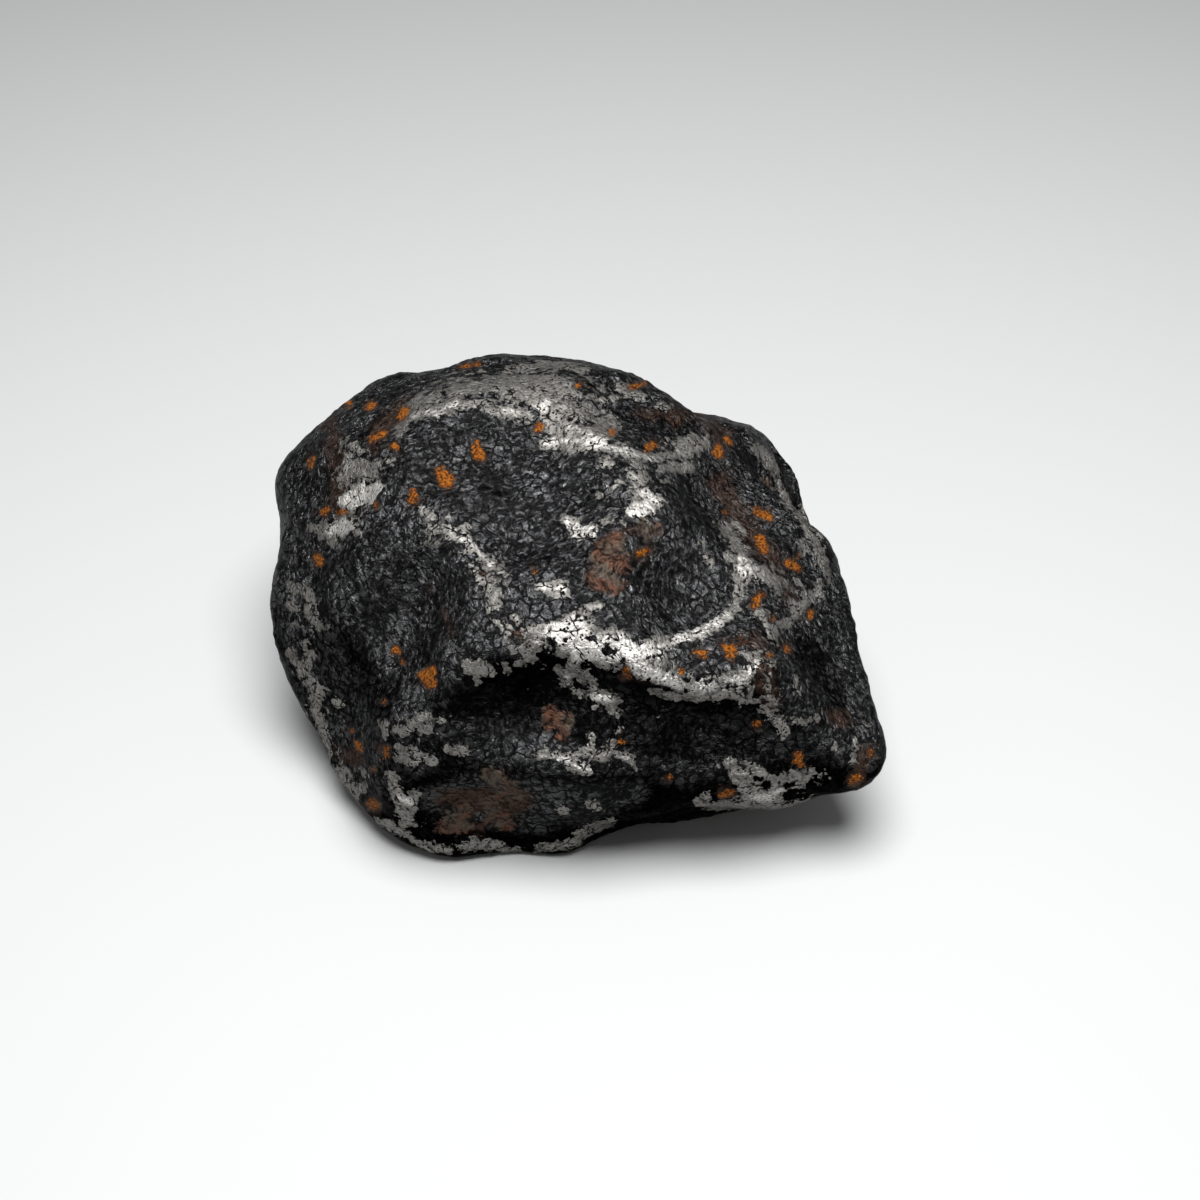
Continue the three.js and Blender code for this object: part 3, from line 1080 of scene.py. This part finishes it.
@dataclass(frozen=True)
class Crust:
    """The near-black fusion crust, leathery, with small glints, and light and shade painted into its
    colour.
    """

    # Painted shade: the colour at the bottom of the creases.
    crease_shade: Colour = (0.0005, 0.0005, 0.0006)
    # Painted light and shade: the crust colour on faces turned away, then on faces lit from above.
    shaded_side: Colour = (0.0042, 0.0042, 0.0045)
    top: Colour = (0.108, 0.109, 0.112)
    rusty: Colour = (0.062, 0.036, 0.026)
    metallic: float = 1.0

    def lumps(self, recipe: Recipe, place: Signal) -> Signal:
        """Builds the fine relief of the whole stone.

        Args:
            recipe: The material.
            place: Where, in millimetres.

        Returns:
            From about -0.6 in the creases to 0.5 on the lumps.
        """
        bent = recipe.stirred(place, 3.0, 1.3)
        leather = recipe.noise(bent, 1.1, 4.0, 0.6)
        cracked = recipe.noise(place, 5.0, 1.0).rise(0.42, 0.62)
        return (leather - 0.5) * 2.6 - (recipe.creases(bent, 1.4) - 0.9) * 0.3 * cracked

    def layer(self, recipe: Recipe, place: Signal, lumps: Signal) -> Layer:
        """Builds the finish.

        Args:
            recipe: The material.
            place: Where, in millimetres.
            lumps: The fine relief.

        Returns:
            The finish.
        """
        broad = recipe.noise(place, 6.0, 2.0)
        bloom = recipe.noise(place, 1.8, 3.0)
        seams = recipe.cells(recipe.stirred(place, 1.6, 0.9), 2.4, "DISTANCE_TO_EDGE")
        # Painted shade in the groove behind the far shoulder.
        groove_shade = recipe.mark(Mark.GROOVE).rise(-0.4, 0.4)
        # Creases between the lumps: sunk, rougher, and painted darker as shade.
        crease = ((0.10 - seams).rise(0.0, 0.10) * broad.rise(0.4, 0.6)).at_least(groove_shade)
        # Painted light and shade on the relief: lumps lighter, creases darker, with a broad tone that
        # varies at random.
        relief_light_and_tone = (lumps + (broad - 0.5) * 1.6 - crease).rise(-0.3, 0.42)
        rust = (recipe.mark(Mark.TINT) + (bloom - 0.5) * 5.0).rise(-0.4, 2.0) * lumps.rise(-0.6, 0.1)
        # Painted light and shade: the crust colour runs from dark on faces turned away to light on faces
        # that point up.
        lit_by_facing = recipe.mix(recipe.mark(Mark.PAINTED_LIGHT), self.shaded_side, self.top)
        colour = recipe.mix(rust * 0.7, recipe.mix(0.12 + 0.88 * relief_light_and_tone, self.crease_shade, lit_by_facing), self.rusty)
        roughness = 0.2 + 0.2 * recipe.noise(place, 0.6, 1.0) + 0.15 * rust + 0.2 * crease
        return Layer(colour, roughness, recipe.number(self.metallic), lumps * 0.42 - crease * 0.16)


@dataclass(frozen=True)
class WornMetal:
    """Shining metal where the crust is rubbed off, with pinholes, dark cracks and painted highlights."""

    # The first colour is a painted highlight, laid along the highlight strokes.
    bright: Colour = (0.60, 0.584, 0.552)
    plain: Colour = (0.25, 0.241, 0.224)
    dull: Colour = (0.040, 0.038, 0.035)
    pit: Colour = (0.005, 0.0045, 0.004)

    def layer(self, recipe: Recipe, place: Signal, lumps: Signal) -> Layer:
        """Builds the finish.

        Args:
            recipe: The material.
            place: Where, in millimetres.
            lumps: The fine relief.

        Returns:
            The finish.
        """
        speckle = recipe.noise(place, 0.5, 3.0, 0.65)
        cloud = recipe.noise(place, 3.2, 2.0)
        holes = recipe.cells(recipe.stirred(place, 0.7, 0.3), 0.85)
        cracks = recipe.cells(recipe.stirred(place, 2.0, 1.2), 3.6, "DISTANCE_TO_EDGE")
        pits = (holes * -1.0 + cloud * 0.35).rise(-0.12, 0.02)
        gaps = (cracks * -1.0 + (speckle - 0.5) * 0.14).rise(-0.055, -0.02) * cloud.rise(0.42, 0.6)
        # Pinholes and cracks, and painted shade in the deepest creases of the relief.
        dark = pits.at_least(gaps).at_least((-0.3 - lumps).rise(0.0, 0.2))
        grain = (speckle - 0.5) * 3.0 + lumps * 0.8
        shine = 0.4 + grain * 0.5 + (cloud - 0.5) + recipe.mark(Mark.METAL).rise(-0.1, 1.2) * 0.2
        grey = recipe.mix((shine + 0.18).rise(0.0, 1.1), self.dull, self.plain)
        # Painted highlight: the metal drawn near white along the highlight strokes.
        highlight_mask = (recipe.mark(Mark.HIGHLIGHT_STROKES) + (cloud - 0.5) * 2.6).rise(-0.7, 0.7)
        highlight_mask = highlight_mask * (0.4 + 0.6 * speckle.rise(0.38, 0.58))
        colour = recipe.mix(dark, recipe.mix(highlight_mask, grey, self.bright), self.pit)
        roughness = 0.30 + 0.2 * speckle + 0.3 * dark + 0.15 * recipe.mark(Mark.PAINTED_LIGHT)
        height = 0.1 + speckle * 0.16 + cloud * 0.16 + lumps * 0.24 - dark * 0.16
        return Layer(colour, roughness, 0.95 - dark * 0.3, height)


@dataclass(frozen=True)
class BrownPatch:
    """Brown-red rust that lies on the crust in patches."""

    red: Colour = (0.112, 0.050, 0.031)
    grey: Colour = (0.080, 0.064, 0.049)
    # Painted shade for the creases.
    shaded_crease: Colour = (0.010, 0.006, 0.005)

    def layer(self, recipe: Recipe, place: Signal, lumps: Signal) -> Layer:
        """Builds the finish.

        Args:
            recipe: The material.
            place: Where, in millimetres.
            lumps: The fine relief.

        Returns:
            The finish.
        """
        cloud = recipe.noise(place, 4.0, 3.0)
        fine = recipe.noise(place, 0.5, 3.0)
        colour = recipe.mix((cloud + (fine - 0.5) * 0.5).rise(0.36, 0.58), self.red, self.grey)
        # Painted light and shade: the patch lighter on the lumps, darker in the creases, and a little
        # darker where it faces up.
        lit = (lumps + fine * 0.6).rise(-0.2, 0.6) * (1.0 - 0.15 * recipe.mark(Mark.PAINTED_LIGHT))
        shade = recipe.mix(lit, self.shaded_crease, colour)
        return Layer(shade, 0.42 + 0.2 * fine, recipe.number(0.6), 0.05 + fine * 0.1 + lumps * 0.3)


@dataclass(frozen=True)
class OrangeGrain:
    """Matt orange-brown grains, crumbly, each cell its own shade."""

    light: Colour = (0.22, 0.067, 0.005)
    dark: Colour = (0.030, 0.008, 0.002)
    hollow: Colour = (0.008, 0.004, 0.002)

    def rim(self, recipe: Recipe) -> Layer:
        """Builds the dark hollow that each grain sits in.

        Args:
            recipe: The material.

        Returns:
            The finish.
        """
        colour = recipe.node("ShaderNodeRGB")
        colour.socket.default_value = (*self.hollow, 1.0)
        return Layer(colour, recipe.number(0.6), recipe.number(0.0), recipe.number(-0.1))

    def layer(self, recipe: Recipe, place: Signal) -> Layer:
        """Builds the finish.

        Args:
            recipe: The material.
            place: Where, in millimetres.

        Returns:
            The finish.
        """
        crumbs = recipe.cells(place, 0.55)
        shade = recipe.noise(place, 0.5, 2.0)
        colour = recipe.mix((shade * 1.6 - crumbs * 0.5).rise(0.25, 0.8), self.dark, self.light)
        return Layer(colour, recipe.number(0.8), recipe.number(0.0), 0.2 - crumbs * 0.3)


@dataclass
class Stone:
    """The meteorite: its skin, dressed."""

    skin: Skin
    crust: Crust = field(default_factory=Crust)
    metal: WornMetal = field(default_factory=WornMetal)
    patch: BrownPatch = field(default_factory=BrownPatch)
    grain: OrangeGrain = field(default_factory=OrangeGrain)
    refraction: float = 1.3

    def material(self) -> bpy.types.Material:
        """Builds the one material that carries all the finishes.

        Returns:
            The material.
        """
        recipe = Recipe("meteorite_crust")
        place = recipe.place()
        ragged = recipe.noise(place, 0.9, 3.0) - 0.5
        fine = recipe.noise(place, 0.3, 2.0) - 0.5
        lumps = self.crust.lumps(recipe, place)
        layer = self.crust.layer(recipe, place, lumps)
        stain = (recipe.mark(Mark.STAIN) + ragged * 2.0 + lumps * 0.8).rise(-0.3, 0.7) * 0.9
        layer = recipe.cover(stain, layer, self.patch.layer(recipe, place, lumps))
        metal = (recipe.mark(Mark.METAL) + ragged * 2.2 + lumps * 0.5 + 0.05).rise(-0.03, 0.05)
        layer = recipe.cover(metal, layer, self.metal.layer(recipe, place, lumps))
        grain = recipe.mark(Mark.GRAIN) + ragged * 1.8 + fine * 2.0
        layer = recipe.cover(grain.rise(-0.6, -0.2) * 0.7, layer, self.grain.rim(recipe))
        layer = recipe.cover(grain.rise(-0.04, 0.08), layer, self.grain.layer(recipe, place))
        return recipe.finish(layer, self.refraction)

    def build(self, node: bpy.types.Object) -> bpy.types.Object:
        """Builds and dresses the skin, and puts it in the solid's place.

        Args:
            node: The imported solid.

        Returns:
            The finished piece.
        """
        piece = self.skin.build(node)
        piece.data.materials.clear()
        piece.data.materials.append(self.material())
        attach(piece, BODY)
        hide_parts(NODE)
        return piece


@dataclass
class Studio:
    """A pale floor, one big soft lamp overhead and a dim room."""

    floor_size: float = 6.0
    floor_colour: Colour = (0.42, 0.425, 0.425)
    floor_roughness: float = 0.7
    lamp_size: float = 0.42
    lamp_place: tuple[float, float, float] = (0.03, -0.13, 0.62)
    lamp_power: float = 8.9
    room: float = 0.24

    def floor(self) -> None:
        """Lays the floor."""
        half = self.floor_size / 2
        corners = [(-half, -half, 0), (half, -half, 0), (half, half, 0), (-half, half, 0)]
        mesh = bpy.data.meshes.new("floor")
        mesh.from_pydata(corners, [], [(0, 1, 2, 3)])
        floor = bpy.data.objects.new("floor", mesh)
        bpy.context.scene.collection.objects.link(floor)
        recipe = Recipe("pale_floor")
        inputs = {"Base Color": (*self.floor_colour, 1.0), "Roughness": self.floor_roughness}
        shader = recipe.node("ShaderNodeBsdfPrincipled", {}, inputs)
        recipe.node("ShaderNodeOutputMaterial", {}, {"Surface": shader})
        mesh.materials.append(recipe.material)

    def light(self) -> None:
        """Hangs the lamp and dims the room."""
        data = bpy.data.lights.new("overhead", "AREA")
        data.shape = "DISK"
        data.size = self.lamp_size
        data.energy = self.lamp_power
        lamp = bpy.data.objects.new("overhead", data)
        lamp.location = self.lamp_place
        lamp.rotation_mode = "QUATERNION"
        lamp.rotation_quaternion = (-Vector(self.lamp_place)).to_track_quat("-Z", "Y")
        bpy.context.scene.collection.objects.link(lamp)
        world = bpy.data.worlds.new("room")
        world.use_nodes = True
        world.node_tree.nodes["Background"].inputs["Strength"].default_value = self.room
        world.node_tree.nodes["Background"].inputs["Color"].default_value = (1.0, 1.0, 1.0, 1.0)
        bpy.context.scene.world = world

    def build(self) -> None:
        """Builds the floor and the light, and keeps whites plain."""
        self.floor()
        self.light()
        bpy.context.scene.view_settings.view_transform = "Standard"


def main() -> None:
    """Builds the scene."""
    logging.basicConfig(level=logging.INFO, format="%(message)s")
    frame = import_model()
    view = Viewpoint()
    view.build()
    Studio().build()
    piece = Stone(Skin(view, Marks())).build(frame["nodes"][NODE])
    LOG.info("%s: %d faces", piece.name, len(piece.data.polygons))


if __name__ == "__main__":
    main()
